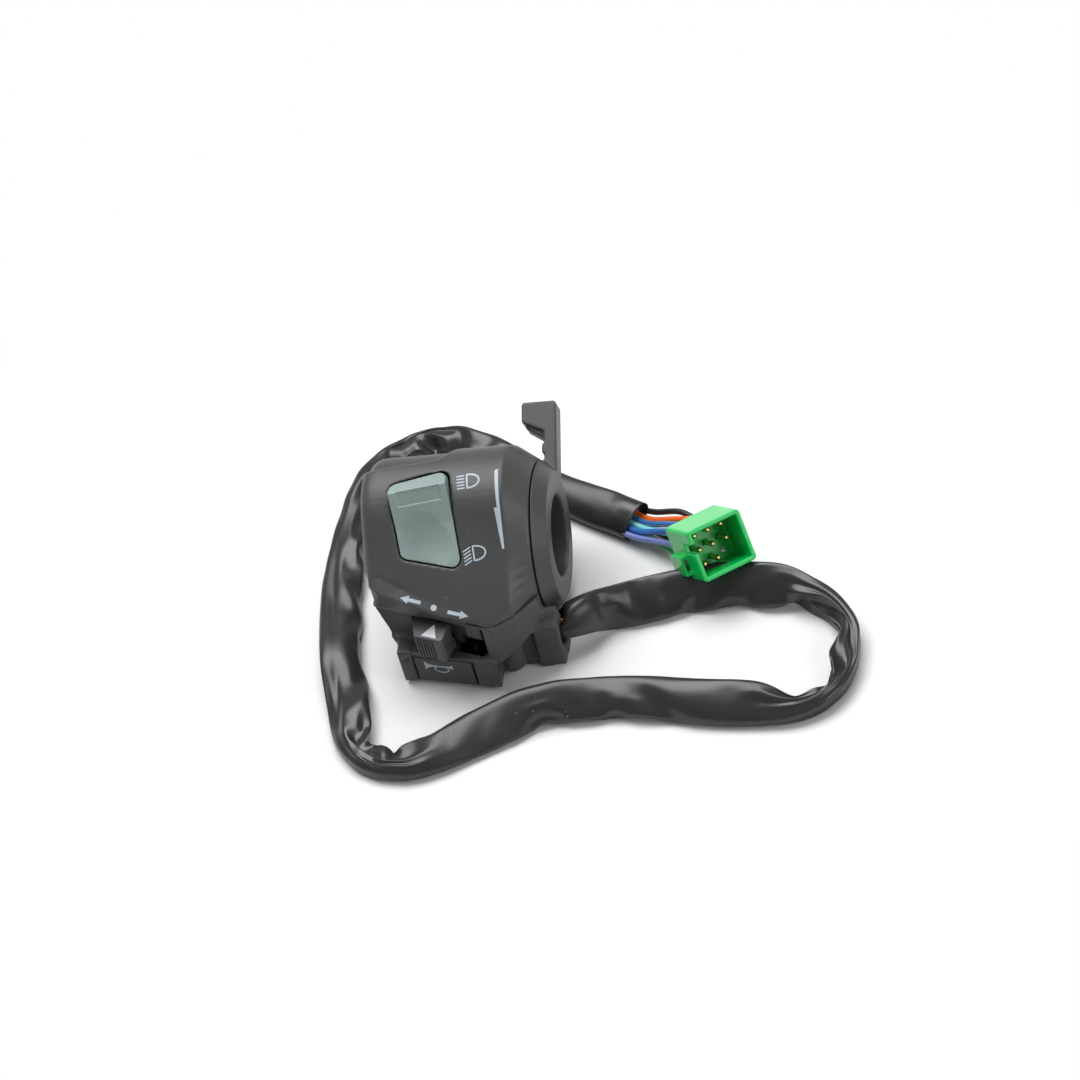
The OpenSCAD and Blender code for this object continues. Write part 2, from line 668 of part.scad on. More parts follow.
module turn_detent_spring() {
    start = carriage_d[0] + 1;
    color("#a9adb0") on_front() translate([turn_s + ball_at[0], start, ball_at[2]]) rotate([-90, 0, 0])
        coil(0.85, 0.3, 3, ball_at[1] - ball_r - start + 0.3);
}

module turn_base() {
    color("#2f2420") on_front() difference() {
        union() {
            box(turn_base_s, turn_base_d, turn_base_z);
            box(turn_base_s, [carriage_d[1] - 1.4, turn_base_d[1]], [carriage_z[1] + 0.4, turn_base_z[1]]);
        }
        box([turn_s + ball_at[0] - turn_travel - 2, turn_s + ball_at[0] + turn_travel + 2],
            [0, ball_at[1] + ball_r + 0.4], [ball_at[2] - ball_r - 0.3, ball_at[2] + ball_r + 0.3]);
        for (s = turn_post_s) {
            inward(s, turn_screw_z, small_screw_r + 0.1, 0, 20);
        }
        for (s = turn_pads) {
            inward(s, turn_z, 0.85, 0, 20);
        }
    }
}

module turn_contacts() {
    color("#c9a04f") on_front() for (s = turn_pads) {
        box([s - 1.7, s + 1.7], [pad_front_d, turn_base_d[0]], [turn_z - 1.6, turn_z + 2.4]);
        inward(s, turn_z, 0.8, turn_base_d[0] - 0.1, turn_base_d[1] + 1);
    }
}

module turn_screws() {
    color("#9a9da0") on_front() for (s = turn_post_s) {
        inward(s, turn_screw_z, small_head_r, turn_base_d[0] - 0.9, turn_base_d[0]);
        inward(s, turn_screw_z, small_screw_r - 0.02, turn_base_d[0] - 0.1, turn_base_d[1] + 1.8);
    }
}

// Horn button
module horn_button() {
    color("#2b2c30") on_plate() translate([horn_s, 0, 0]) {
        box([-horn_half, horn_half], [0, panel_t], horn_z);
        box([-horn_half - horn_flange, horn_half + horn_flange], [wall + 0.3, wall + 1.5], horn_flange_z);
        box([-6, 6], [panel_t - 0.2, wall + 0.6], horn_flange_z);
        inward(0, horn_mid, horn_stem_r, wall + 1, horn_stem_end);
    }
}

module horn_spring() {
    color("#a9adb0") on_plate() translate([horn_s, wall + 1.5, horn_mid]) rotate([-90, 0, 0])
        coil(2.6, 0.45, 4, horn_base_d[0] - wall - 1.5);
}

module horn_disc() {
    color("#c9a04f") on_plate()
        inward(horn_s, horn_mid, horn_stem_r - 0.2, horn_stem_end, horn_stem_end + horn_disc_t);
}

module horn_base() {
    color("#2f2420") on_plate() difference() {
        box([horn_s - horn_base_half, horn_s + horn_base_half], horn_base_d, horn_base_z);
        inward(horn_s, horn_mid, horn_stem_r + 0.2, 0, 20);
        for (side = [-1, 1]) {
            inward(horn_s + side * horn_post, horn_mid, small_screw_r + 0.1, 0, 20);
        }
    }
}

module horn_terminal() {
    color("#c9a04f") on_plate() {
        d = [horn_base_d[1], horn_base_d[1] + 0.6];
        box([horn_s - 3.4, horn_s + 3.4], d, [horn_mid - 1.5, horn_mid + 1.5]);
        box([horn_s - 1.2, horn_s + 1.2], d, [horn_mid + 1, horn_mid + 3.4]);
    }
}

module horn_screws() {
    color("#9a9da0") on_plate() for (side = [-1, 1]) {
        s = horn_s + side * horn_post;
        z = horn_mid;
        inward(s, z, small_head_r - 0.2, horn_base_d[0] - 0.9, horn_base_d[0]);
        inward(s, z, small_screw_r - 0.02, horn_base_d[0] - 0.1, horn_base_d[1] + 1.8);
    }
}

// Harness
module harness_sleeve() {
    p = smooth(route, 2);
    last = len(p) - 1;
    sizes = [for (i = [0:last]) let (f = min(1, max(0, i - 2) / 6))
        [sleeve_start_r + f * (sleeve_a - sleeve_start_r), sleeve_start_r + f * (sleeve_b - sleeve_start_r)]];
    inner = [for (z = sizes) [z[0] - sleeve_wall, z[1] - sleeve_wall]];
    color("#1d1d20") difference() {
        tube(p, sizes, 10);
        tube([p[last - 1], p[last] + 2 * way(p, last)], [inner[last]], 10);
        tube([p[0] - 2 * way(p, 0), p[0], p[1], p[2]], [inner[0]], 10);
    }
}

// Leads from the contacts of the switches to the harness, as the points of each before the exit
tail_d = turn_base_d[1] + 1.8;
turn_tails = [for (q = turn_pads) [q * cos(front_turn) + tail_d * sin(front_turn),
    front_y0 - q * sin(front_turn) + tail_d * cos(front_turn), turn_z]];
lead_ways = [
    [turn_tails[0], turn_tails[0] + [0.6, 0.6, -4],
        [-2, -14, exit_yz[1] + 0.3], [12, -14.6, exit_yz[1] - 0.6]],
    [turn_tails[1], turn_tails[1] + [0.6, 0.2, -4],
        [3, -16.4, exit_yz[1] + 1.4], [13, -17.1, exit_yz[1] + 0.4]],
    [turn_tails[2], turn_tails[2] + [0.5, 0.8, -4],
        [8, -16.6, exit_yz[1] + 4.2], [15, -17.8, exit_yz[1] + 3.6]]];

module inner_leads() {
    first = route[0];
    color("#b98a5a") for (k = [0:len(lead_ways) - 1]) let (a = 330 - 120 * k, at = [0, 2 * cos(a), 2 * sin(a)])
        tube(smooth(concat(lead_ways[k], [[21.5, exit_yz[0] + 0.1, exit_yz[1] + 0.1] + at,
            [27, exit_yz[0], exit_yz[1]] + at, first + at, first + [0.7, 0.15, 0] + 0.95 * at]), 3),
            [[lead_r, lead_r]], 6);
}

// A wire from inside the sleeve's open end to the back of the connector, at way [column, row]
module harness_wire(way_at, side, lift) {
    end = route[len(route) - 1];
    lead = unit(end - route[len(route) - 2]);
    place = side * cross([0, 0, 1], lead) + [0, 0, lift];
    back = plug_point([way_at[0] * pin_pitch, way_at[1] * pin_pitch, -plug_l]);
    ahead = plug_point([way_at[0] * pin_pitch, way_at[1] * pin_pitch, -plug_l - 6]);
    start = end + 3 * lead + place;
    tube(smooth([start - 7 * lead, start, (start + ahead) / 2, ahead, back], 4), [[wire_r, wire_r]], 8);
}

function turned(v, a) = let (x = [v[0], v[1] * cos(a[0]) - v[2] * sin(a[0]), v[1] * sin(a[0]) + v[2] * cos(a[0])],
    y = [x[0] * cos(a[1]) + x[2] * sin(a[1]), x[1], x[2] * cos(a[1]) - x[0] * sin(a[1])])
    [y[0] * cos(a[2]) - y[1] * sin(a[2]), y[0] * sin(a[2]) + y[1] * cos(a[2]), y[2]];
function plug_point(v) = plug_at + turned(v, plug_turn);

module wire_black() { color("#202022") harness_wire([1, 0], 4.7, 0); }
module wire_orange() { color("#e2622a") harness_wire([1, 1], 2.85, 0.6); }
module wire_striped() { color("#2f6fa8") harness_wire([0, 1], 0.95, 0.75); }
module wire_cyan() { color("#63bfc6") harness_wire([0, 0], -0.95, 0.55); }
module wire_blue() { color("#2b62ad") harness_wire([-1, 1], -2.85, 0.6); }
module wire_violet() { color("#6f7fc0") harness_wire([-1, 0], -4.7, 0); }
module wire_brown() { color("#6a4a34") harness_wire([0, -1], 1.2, -1.35); }
module wire_green() { color("#3f8f52") harness_wire([-1, -1], -1.2, -1.35); }

module connector_housing() {
    color("#00c060") translate(plug_at) rotate(plug_turn) difference() {
        union() {
            translate([0, 0, -plug_l]) linear_extrude(plug_l)
                offset(r = 1.2, $fn = 24) offset(delta = -1.2) square([plug_w, plug_h], center = true);
            box([-plug_w / 2 - 2.2, -plug_w / 2 + 0.5], [-5.6, 0.4], [-plug_l + 2, -6.5]);
        }
        translate([0, 0, plug_floor - plug_l]) linear_extrude(plug_l)
            square([plug_w - 2 * plug_wall, plug_h - 2 * plug_wall], center = true);
        box([-plug_w / 2 - 3, 2 - plug_w / 2], [0.8, 3.8], [-6, 1]);
        box([-plug_w / 2 - 1.4, -plug_w / 2 - 0.3], [-4.4, -0.8], [-plug_l, 0]);
        for (i = [-1:1]) for (j = [-1:1]) {
            translate([i * pin_pitch, j * pin_pitch, -plug_l - 1]) cylinder(h = plug_l, r = pin_hole_r);
        }
    }
}

module connector_pins() {
    color("#caa24e") translate(plug_at) rotate(plug_turn) for (i = [-1:1]) for (j = [-1:1]) {
        if ([i, j] != empty_way) translate([i * pin_pitch, j * pin_pitch, 0.2 - plug_l]) {
            cylinder(h = 9.2, r = plug_pin_r);
            translate([0, 0, 9.2]) cylinder(h = 0.8, r1 = plug_pin_r, r2 = plug_pin_r / 2);
        }
    }
}

upper_housing();
lower_housing();
clamp_screws();
choke_lever();
dimmer_rocker();
dimmer_pivot_pins();
dimmer_plunger();
dimmer_spring();
dimmer_bridge();
dimmer_contacts();
dimmer_base();
dimmer_screws();
turn_knob();
turn_return_spring();
turn_carriage();
turn_wiper();
turn_detent_ball();
turn_detent_spring();
turn_base();
turn_contacts();
turn_screws();
horn_button();
horn_spring();
horn_disc();
horn_base();
horn_terminal();
horn_screws();
harness_sleeve();
wire_black();
wire_orange();
wire_striped();
wire_cyan();
wire_blue();
wire_violet();
wire_brown();
wire_green();
inner_leads();
connector_housing();
connector_pins();
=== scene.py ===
import json
import math

import bmesh
import bpy
import numpy as np
from mathutils import Matrix, Vector
from mathutils.bvhtree import BVHTree

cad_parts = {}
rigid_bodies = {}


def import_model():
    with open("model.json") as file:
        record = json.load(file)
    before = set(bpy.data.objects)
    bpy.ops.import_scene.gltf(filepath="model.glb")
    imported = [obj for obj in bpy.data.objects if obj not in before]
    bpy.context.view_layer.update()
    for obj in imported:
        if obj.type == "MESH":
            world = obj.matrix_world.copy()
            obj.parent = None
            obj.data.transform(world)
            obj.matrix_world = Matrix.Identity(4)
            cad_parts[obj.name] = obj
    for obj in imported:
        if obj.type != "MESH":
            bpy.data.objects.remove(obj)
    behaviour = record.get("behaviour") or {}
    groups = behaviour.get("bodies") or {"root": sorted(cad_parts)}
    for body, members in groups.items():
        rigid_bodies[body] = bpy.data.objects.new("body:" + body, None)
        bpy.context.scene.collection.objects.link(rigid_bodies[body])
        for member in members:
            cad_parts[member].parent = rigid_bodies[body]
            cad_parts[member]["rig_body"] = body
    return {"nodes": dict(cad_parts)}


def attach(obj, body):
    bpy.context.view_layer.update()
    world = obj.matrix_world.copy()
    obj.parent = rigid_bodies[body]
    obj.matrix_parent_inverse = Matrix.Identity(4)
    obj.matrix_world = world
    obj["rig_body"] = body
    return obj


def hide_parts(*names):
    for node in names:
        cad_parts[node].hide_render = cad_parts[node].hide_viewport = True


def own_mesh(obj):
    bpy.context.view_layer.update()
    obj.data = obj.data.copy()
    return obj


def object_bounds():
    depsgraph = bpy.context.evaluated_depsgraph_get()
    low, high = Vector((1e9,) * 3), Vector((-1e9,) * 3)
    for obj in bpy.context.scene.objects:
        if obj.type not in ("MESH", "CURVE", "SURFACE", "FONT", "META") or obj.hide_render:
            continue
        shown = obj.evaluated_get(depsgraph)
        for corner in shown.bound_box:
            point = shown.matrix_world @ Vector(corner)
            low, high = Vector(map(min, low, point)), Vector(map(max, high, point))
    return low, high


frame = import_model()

cad_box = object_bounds()
scene = bpy.context.scene
scene.view_settings.view_transform = "Standard"
MM = 0.001


# Studio: a white table top under two softboxes, with the camera above the rider's side.
# The table keeps the shadow round the part and runs out to plain white further off.
def placed(name, data):
    """A new object of the scene."""
    thing = bpy.data.objects.new(name, data)
    scene.collection.objects.link(thing)
    return thing


look_back = Vector((0.2, -0.69282, 0.69282))
look_up = Vector((0.075, 0.71586, 0.69421))
look_at = Vector((0.0259, -0.0014, 0.00022))
camera_data = bpy.data.cameras.new("camera")
camera_data.lens = 118.33
camera_data.sensor_width = 36
camera = placed("camera", camera_data)
camera_turn = Matrix((look_up.cross(look_back), look_up, look_back)).transposed().to_4x4()
camera.matrix_world = Matrix.Translation(look_at + look_back) @ camera_turn
scene.camera = camera


def softbox(name, place, size, watts):
    """A rectangular lamp that faces the part."""
    data = bpy.data.lights.new(name, "AREA")
    data.shape = "RECTANGLE"
    data.size, data.size_y = size
    data.energy = watts
    lamp = placed(name, data)
    lamp.location = place
    aim = Vector((0.02, 0, 0))
    lamp.rotation_euler = (aim - Vector(place)).to_track_quat("-Z", "Y").to_euler()


softbox("softbox_top", (-0.15, 0.35, 0.95), (1.0, 0.7), 14)
softbox("softbox_right", (0.95, -0.35, 0.5), (0.6, 0.6), 3.4)


def add_node(tree, kind, inputs=None, **settings):
    """A node with its settings; an input is a plain value or the socket that feeds it."""
    node = tree.nodes.new(kind)
    for key, value in settings.items():
        setattr(node, key, value)
    for key, value in (inputs or {}).items():
        if isinstance(value, bpy.types.NodeSocket):
            tree.links.new(value, node.inputs[key])
        else:
            node.inputs[key].default_value = value
    return node


pure_white = (1, 1, 1, 1)
world = bpy.data.worlds.new("studio_world")
world.use_nodes = True
sky = world.node_tree
sky.nodes.clear()
ray = add_node(sky, "ShaderNodeLightPath")
seen = add_node(sky, "ShaderNodeMath",
                {0: ray.outputs["Is Camera Ray"], 1: ray.outputs["Is Transmission Ray"]},
                operation="MAXIMUM")
fill = add_node(sky, "ShaderNodeBackground", {"Color": pure_white, "Strength": 0.31})
backdrop = add_node(sky, "ShaderNodeBackground", {"Color": pure_white, "Strength": 1.0})
mixed = add_node(sky, "ShaderNodeMixShader",
                 {0: seen.outputs[0], 1: fill.outputs[0], 2: backdrop.outputs[0]})
add_node(sky, "ShaderNodeOutputWorld", {"Surface": mixed.outputs[0]})
scene.world = world

table_z = cad_box[0][2] - 0.0001
table_half = 3
table_corners = [(x * table_half, y * table_half, table_z) for x, y in ((-1, -1), (1, -1), (1, 1), (-1, 1))]
table_mesh = bpy.data.meshes.new("table_top")
table_mesh.from_pydata(table_corners, [], [(0, 1, 2, 3)])
table_top = placed("table_top", table_mesh)
table_paint = bpy.data.materials.new("table_paint")
table_paint.use_nodes = True
tree = table_paint.node_tree
matt = tree.nodes["Principled BSDF"]
matt.inputs["Base Color"].default_value = (0.8, 0.8, 0.8, 1)
matt.inputs["Roughness"].default_value = 0.75
matt.inputs["Specular IOR Level"].default_value = 0.1
place = add_node(tree, "ShaderNodeTexCoord")
spread = add_node(tree, "ShaderNodeVectorMath", {0: place.outputs["Object"], 1: (0.03, 0, 0)},
                  operation="DISTANCE")
fade = add_node(tree, "ShaderNodeMapRange",
                {"Value": spread.outputs["Value"], "From Min": 0.1, "From Max": 0.24,
                 "To Min": 0.0, "To Max": 1.0},
                interpolation_type="SMOOTHSTEP")
ray = add_node(tree, "ShaderNodeLightPath")
seen = add_node(tree, "ShaderNodeMath", {0: ray.outputs["Is Camera Ray"], 1: fade.outputs["Result"]},
                operation="MULTIPLY")
glow = add_node(tree, "ShaderNodeEmission", {"Color": pure_white, "Strength": 1.0})
mixed = add_node(tree, "ShaderNodeMixShader", {0: seen.outputs[0], 1: matt.outputs[0], 2: glow.outputs[0]})
tree.links.new(mixed.outputs[0], tree.nodes["Material Output"].inputs["Surface"])
table_mesh.materials.append(table_paint)


# Lower housing: the bottom shell, moulded in black nylon with the turn slot, the horn plate,
# two screw bosses and the harness exit in one shot. Screws pull it up against the upper shell.
def effect_group(name, inputs, outputs):
    """An empty shader group with named numbers in and out, and its two end nodes."""
    tree = bpy.data.node_groups.new(name, "ShaderNodeTree")
    for label, value in inputs.items():
        socket = tree.interface.new_socket(label, in_out="INPUT", socket_type="NodeSocketFloat")
        socket.default_value = value
    for label in outputs:
        tree.interface.new_socket(label, in_out="OUTPUT", socket_type="NodeSocketFloat")
    return tree, tree.nodes.new("NodeGroupInput"), tree.nodes.new("NodeGroupOutput")


mould_texture, given, result = effect_group("mould_texture", {"Scale": 2400.0}, ("Height", "Tone"))
place = add_node(mould_texture, "ShaderNodeTexCoord")
fine = add_node(mould_texture, "ShaderNodeTexNoise",
                {"Vector": place.outputs["Object"], "Scale": given.outputs["Scale"],
                 "Detail": 3.0, "Roughness": 0.6})
broad = add_node(mould_texture, "ShaderNodeTexNoise",
                 {"Vector": place.outputs["Object"], "Scale": 60.0, "Detail": 4.0})
mould_texture.links.new(fine.outputs["Fac"], result.inputs["Height"])
mould_texture.links.new(broad.outputs["Fac"], result.inputs["Tone"])

handling_marks, given, result = effect_group("handling_marks", {"Amount": 0.5}, ("Dust", "Rub"))
place = add_node(handling_marks, "ShaderNodeTexCoord")
cells = add_node(handling_marks, "ShaderNodeTexVoronoi", {"Vector": place.outputs["Object"], "Scale": 380.0})
speck = add_node(handling_marks, "ShaderNodeMapRange",
                 {"Value": cells.outputs["Distance"], "From Min": 0.05, "From Max": 0.11,
                  "To Min": 1.0, "To Max": 0.0})
patch = add_node(handling_marks, "ShaderNodeTexNoise",
                 {"Vector": place.outputs["Object"], "Scale": 130.0, "Detail": 2.0})
where = add_node(handling_marks, "ShaderNodeMapRange",
                 {"Value": patch.outputs["Fac"], "From Min": 0.58, "From Max": 0.66})
some = add_node(handling_marks, "ShaderNodeMath", {0: speck.outputs[0], 1: where.outputs[0]},
                operation="MULTIPLY")
dust = add_node(handling_marks, "ShaderNodeMath", {0: some.outputs[0], 1: given.outputs["Amount"]},
                operation="MULTIPLY")
smear = add_node(handling_marks, "ShaderNodeTexNoise",
                 {"Vector": place.outputs["Object"], "Scale": 34.0, "Detail": 5.0, "Distortion": 0.8})
rub = add_node(handling_marks, "ShaderNodeMapRange",
               {"Value": smear.outputs["Fac"], "From Min": 0.42, "From Max": 0.7})
handling_marks.links.new(dust.outputs[0], result.inputs["Dust"])
handling_marks.links.new(rub.outputs[0], result.inputs["Rub"])


def textured(name, texture, dust):
    """A new material with its shader and the two shared effects at the given values."""
    material = bpy.data.materials.new(name)
    material.use_nodes = True
    tree = material.node_tree
    grain = add_node(tree, "ShaderNodeGroup", node_tree=mould_texture)
    grain.inputs["Scale"].default_value = texture
    marks = add_node(tree, "ShaderNodeGroup", node_tree=handling_marks)
    marks.inputs["Amount"].default_value = dust
    return material, tree, tree.nodes["Principled BSDF"], grain, marks


def shades(colour, dark, light):
    """The darker and the lighter end of a colour's mottling, as inputs of a mix."""
    return {6: [c * dark for c in colour] + [1], 7: [min(1, c * light) for c in colour] + [1]}


def moulding(name, colour, rough, texture=2400.0, depth=0.10, dust=0.35, dust_colour=(0.35, 0.35, 0.34)):
    """A moulded plastic with a fine mould texture, slight mottling, smears and a few specks of dust."""
    material, tree, shader, grain, marks = textured(name, texture, dust)
    level = add_node(tree, "ShaderNodeMapRange",
                     {"Value": grain.outputs["Tone"], "From Min": 0.3, "From Max": 0.7})
    body = add_node(tree, "ShaderNodeMix", {0: level.outputs[0], **shades(colour, 0.88, 1.12)},
                    data_type="RGBA")
    dusty = add_node(tree, "ShaderNodeMix",
                     {0: marks.outputs["Dust"], 6: body.outputs[2], 7: (*dust_colour, 1)},
                     data_type="RGBA")
    gloss = add_node(tree, "ShaderNodeMapRange",
                     {"Value": marks.outputs["Rub"], "To Min": rough + 0.04, "To Max": rough - 0.07})
    bump = add_node(tree, "ShaderNodeBump",
                    {"Height": grain.outputs["Height"], "Strength": depth, "Distance": 0.0002})
    tree.links.new(dusty.outputs[2], shader.inputs["Base Color"])
    tree.links.new(gloss.outputs[0], shader.inputs["Roughness"])
    tree.links.new(bump.outputs["Normal"], shader.inputs["Normal"])
    return material


merge_distance = 1e-6


def solid_copy(node, name):
    """A copy of a node's solid with its triangles joined."""
    mesh = frame["nodes"][node].data.copy()
    form = bmesh.new()
    form.from_mesh(mesh)
    bmesh.ops.remove_doubles(form, verts=form.verts, dist=merge_distance)
    form.to_mesh(mesh)
    form.free()
    return placed(name, mesh)


def set_shape(piece):
    """Makes the modifiers' result the piece's own plain mesh."""
    mesh = bpy.data.meshes.new_from_object(piece.evaluated_get(bpy.context.evaluated_depsgraph_get()))
    piece.modifiers.clear()
    piece.data = mesh
    return mesh


def shade_smooth(mesh):
    """Smooth shading on every face."""
    mesh.polygons.foreach_set("use_smooth", [True] * len(mesh.polygons))


def soft_moulding(node, voxel, passes):
    """A copy of a solid with the small radius that a mould leaves on every edge."""
    piece = solid_copy(node, node + "_moulded")
    fine = piece.modifiers.new("fine", "REMESH")
    fine.mode = "VOXEL"
    fine.voxel_size = voxel
    soft = piece.modifiers.new("soft", "SMOOTH")
    soft.factor = 0.5
    soft.iterations = passes
    shade_smooth(set_shape(piece))
    return piece


def settle(piece, node, material):
    """The piece takes a node's place on its body, with its finish."""
    piece.data.materials.clear()
    piece.data.materials.append(material)
    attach(piece, frame["nodes"][node]["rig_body"])
    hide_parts(node)


housing_black = moulding("housing_black_nylon", (0.054, 0.054, 0.056), 0.46)
lower_shell = soft_moulding("lower_housing", 0.45 * MM, 5)
settle(lower_shell, "lower_housing", housing_black)


# Turn switch: brown phenolic base with brass contacts, screwed to posts in the lower shell.
# The carriage slides on it with a sprung brass wiper and a detent ball; the knob clips in.
def metal(name, colour, rough):
    """A plated or drawn metal with fine drawing marks and cloudy gloss."""
    material, tree, shader, grain, marks = textured(name, texture=900.0, dust=0.1)
    shader.inputs["Metallic"].default_value = 1.0
    body = add_node(tree, "ShaderNodeMix", {0: grain.outputs["Tone"], **shades(colour, 0.8, 1.1)},
                    data_type="RGBA")
    gloss = add_node(tree, "ShaderNodeMapRange",
                     {"Value": marks.outputs["Rub"], "To Min": rough, "To Max": rough + 0.12})
    bump = add_node(tree, "ShaderNodeBump",
                    {"Height": grain.outputs["Height"], "Strength": 0.06, "Distance": 0.0001})
    tree.links.new(body.outputs[2], shader.inputs["Base Color"])
    tree.links.new(gloss.outputs[0], shader.inputs["Roughness"])
    tree.links.new(bump.outputs["Normal"], shader.inputs["Normal"])
    return material


def dress(material, *nodes):
    """Gives solids that stay as they are their finish."""
    for node in nodes:
        mesh = frame["nodes"][node].data
        mesh.materials.clear()
        mesh.materials.append(material)


zinc = metal("zinc_plated_steel", (0.62, 0.63, 0.65), 0.3)
spring_wire = metal("spring_wire", (0.5, 0.5, 0.51), 0.24)
brass = metal("contact_brass", (0.72, 0.5, 0.2), 0.28)
phenolic = moulding("brown_phenolic", (0.026, 0.017, 0.013), 0.4, dust=0.1)
knob_black = moulding("knob_black_nylon", (0.06, 0.06, 0.066), 0.42, dust=0.3)
dress(phenolic, "turn_base")
dress(brass, "turn_contacts", "turn_wiper")
dress(spring_wire, "turn_detent_ball", "turn_detent_spring")
dress(zinc, "turn_screws")
dress(knob_black, "turn_carriage")


def pressed_coil(node):
    """A copy of a coil spring's solid in spring wire, on the spring's body, with a mesh of its own."""
    piece = solid_copy(node, node + "_coil")
    settle(piece, node, spring_wire)
    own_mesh(piece)


slide_right = Vector((0.93969, -0.34202, 0))
slide_inward = Vector((0.34202, 0.93969, 0))
pressed_coil("turn_return_spring")
turn_knob = soft_moulding("turn_knob", 0.13 * MM, 3)
settle(turn_knob, "turn_knob", knob_black)

# Horn switch: a black panel flush with the plate, a coil spring and a brass disc that meets
# the terminal on a phenolic base. The panel is pushed straight in.
horn_right = Vector((0.97553, -0.21985, 0))
horn_black = moulding("horn_black_nylon", (0.037, 0.037, 0.04), 0.46)
horn_panel = soft_moulding("horn_button", 0.25 * MM, 3)
settle(horn_panel, "horn_button", horn_black)
pressed_coil("horn_spring")
dress(brass, "horn_disc", "horn_terminal")
dress(phenolic, "horn_base")
dress(zinc, "horn_screws")


# Harness sleeve: thin black PVC tubing that lies nearly flat over its wires, pulled round in a
# loop on the table. It starts in the housing's exit and is cut square at the connector end.
def spline(points, per_span):
    """Points of a smooth curve through the given ones."""
    points = [Vector(p) for p in points]
    line = []
    for i in range(len(points) - 1):
        a, b, c, d = points[max(i - 1, 0)], points[i], points[i + 1], points[min(i + 2, len(points) - 1)]
        for j in range(per_span):
            t = j / per_span
            line.append(0.5 * (2 * b + t * (c - a) + t * t * (2 * a - 5 * b + 4 * c - d)
                               + t ** 3 * (3 * b - a - 3 * c + d)))
    return line + [points[-1]]


def eased(stations, at):
    """The stations' columns at places along the run, eased from row to row."""
    table = np.array(stations, float)
    row = np.clip(np.searchsorted(table[:, 0], at) - 1, 0, len(table) - 2)
    t = np.clip((at - table[row, 0]) / (table[row + 1, 0] - table[row, 0]), 0, 1)[:, None]
    t = t * t * (3 - 2 * t)
    return (table[row, 1:] * (1 - t) + table[row + 1, 1:] * t).T[:, :, None]


lie = -21.4
sleeve_route = [
    (32, -19.5, -16.3), (34, -18.6, -16.4), (37.5, -16.2, -17.1), (42, -12.6, -19), (54, -9, lie),
    (68, -6, lie), (85, -6, lie), (98, -9, lie), (107, -20, lie), (111, -33, lie), (107, -46, lie),
    (98, -51, lie), (84, -50, lie), (70, -48, lie), (56, -45, lie), (42, -44, lie), (26, -47, lie),
    (9, -53, lie), (-4, -60, lie), (-15, -64, lie), (-26, -57, lie), (-31, -38, lie), (-36, -14, lie),
    (-39, 10, lie), (-39, 30, lie), (-36, 49, lie), (-30, 61, lie), (-20, 67, lie), (-9, 66, lie),
    (4, 59, lie), (16, 49, lie), (27, 39, lie), (37, 32, lie), (48, 24, lie)]
# place along the route, half width, half height, roll, shift aside and lift of the flattened tube
sleeve_form = [
    (0, 5.2, 4.3, -80, 0, 1.6), (1.5, 5.8, 4.0, -75, 0, 1.6), (3, 6.4, 3.5, -60, 0, 1.2),
    (4.5, 6.9, 2.9, -48, 0, 1.5), (5.4, 7.4, 2.4, -44, 0, 2.4), (6.6, 7.5, 2.4, -42, 0.6, 2.4),
    (7.2, 6.2, 3.4, -34, 0.4, 1.6), (7.8, 4.8, 3.9, -16, -1.8, 0.6), (8.4, 4.6, 4.2, 4, -2.5, 0),
    (9, 6.0, 3.6, 14, 0.8, 0), (10, 5.6, 3.6, 4, 0, 0), (11, 5.8, 3.4, 22, 0, 0),
    (11.8, 7.2, 2.6, 40, 0, 1.6), (13, 6.6, 3.2, 33, 0, 1), (15, 6.3, 3.3, 25, 0, 0),
    (16, 6.8, 3.0, 42, 1, 0), (17, 7.2, 2.6, 22, 0, 0), (18, 6.8, 3.0, 10, 0, 0),
    (19.3, 7.0, 3.0, 4, 0.6, 0), (20.3, 6.8, 3.2, 12, 0.6, 0), (20.9, 6.6, 3.2, 20, 0.2, 0),
    (21.6, 6.6, 3.2, -40, 0.2, 0), (22.6, 6.3, 3.2, -14, 0.4, 0), (24, 5.2, 3.7, -6, 1.4, 0),
    (25.2, 5.4, 3.6, -26, 1.4, 0), (26.4, 6.2, 3.0, 8, 1, 0), (28, 5.8, 3.4, -22, 2.2, 0),
    (30, 5.6, 3.4, -25, 3, 0), (31.6, 5.9, 3.4, -25, 1.2, 0), (33, 6.2, 3.3, -25, 0, 0)]
# place along the route, direction round it from the side up, depth, length and spread of each dent
sleeve_dents = [
    (7.5, 40, 2.6, 0.5, 50), (8.7, 110, 2.6, 0.3, 40), (9.7, 50, 4.2, 0.45, 40), (10.9, 30, 3.2, 0.3, 40),
    (11.3, 95, 2.6, 0.4, 35), (12.1, 60, 1.8, 0.6, 35), (16.4, 75, 1.6, 1.1, 30), (19.4, 110, 2.6, 0.5, 40),
    (20.2, 70, 2.6, 0.5, 45), (21.2, 120, 1.8, 0.6, 40), (22.6, 130, 1.8, 0.8, 40), (24.4, 60, 1.4, 0.8, 40),
    (26.1, 110, 2.2, 0.5, 40), (27.3, 70, 1.8, 0.6, 40)]
ring_sides = 20
table_face = -24.95


